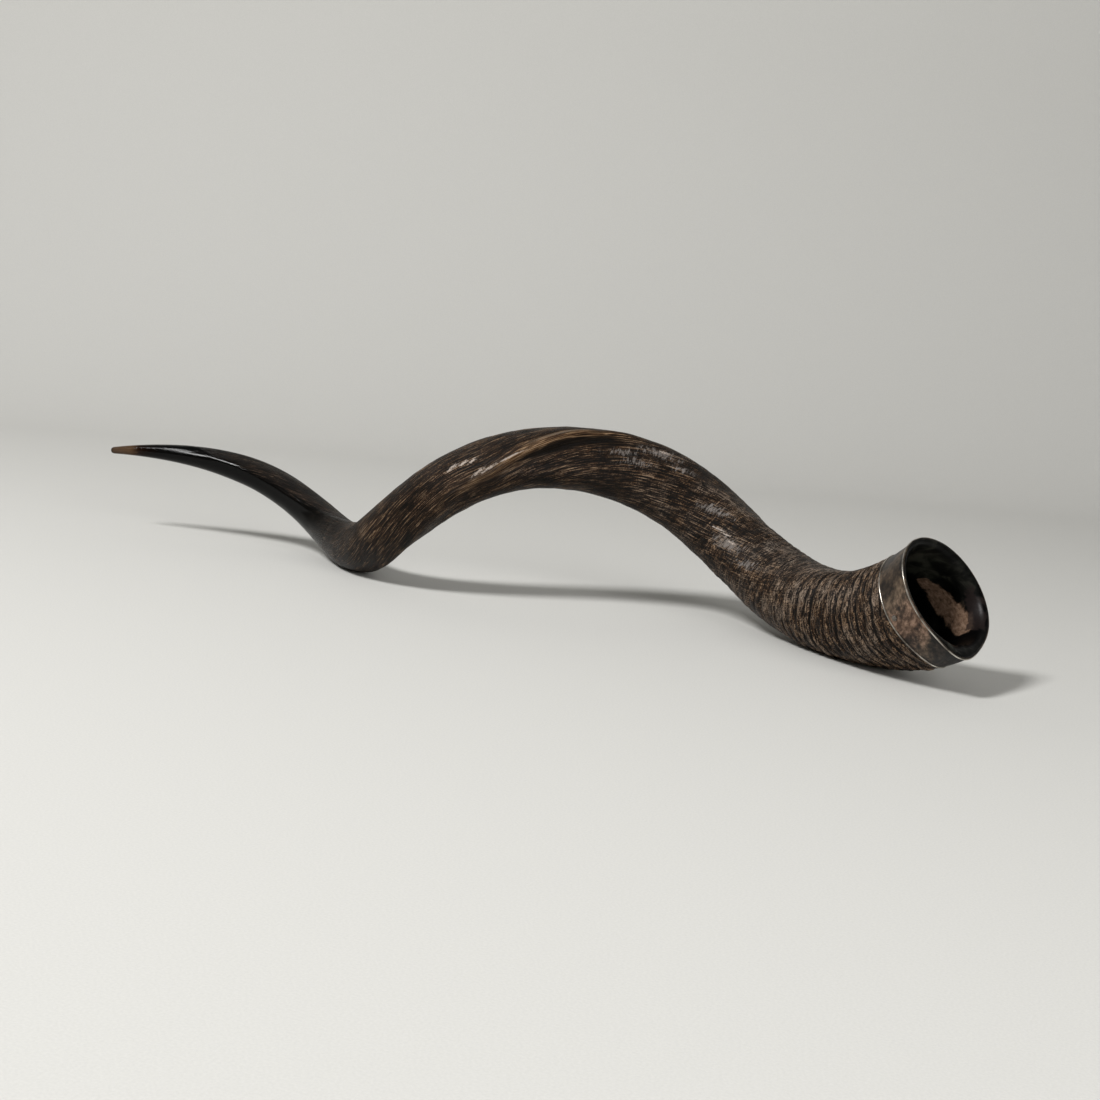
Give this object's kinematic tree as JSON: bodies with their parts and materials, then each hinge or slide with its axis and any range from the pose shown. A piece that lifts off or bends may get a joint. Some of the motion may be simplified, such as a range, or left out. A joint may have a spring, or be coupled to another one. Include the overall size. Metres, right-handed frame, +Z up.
{
  "type": "spiral horn shofar",
  "caption": "Long open spiral horn with a keel, growth rings near the flared bell, a nailed sheet-metal collar with wired edges and a small blow hole at the tip.",
  "frame": {"origin": "on the table under the middle of the bounding box, with the horn lying as it rests", "axes": "+X from the tip to the bell along the table, +Z up, +Y to the left of someone who looks from tip to bell"},
  "size_m": [0.7144, 0.1565, 0.1283],
  "materials": {
    "horn_keratin": "natural dark brown keratin, polished black at the tip",
    "collar_metal": "thin sheet with a mottled copper-brown and dark grey patina",
    "edge_wire": "half-round wire, rubbed bright",
    "nail_steel": "dark nail with a worn bright crown"
  },
  "bodies": {
    "root": {"horn": "horn_keratin", "collar_band": "collar_metal", "rim_wire": "edge_wire", "back_wire": "edge_wire", "collar_nail_1": "nail_steel", "collar_nail_2": "nail_steel", "collar_nail_3": "nail_steel"}
  },
  "joints": []
}
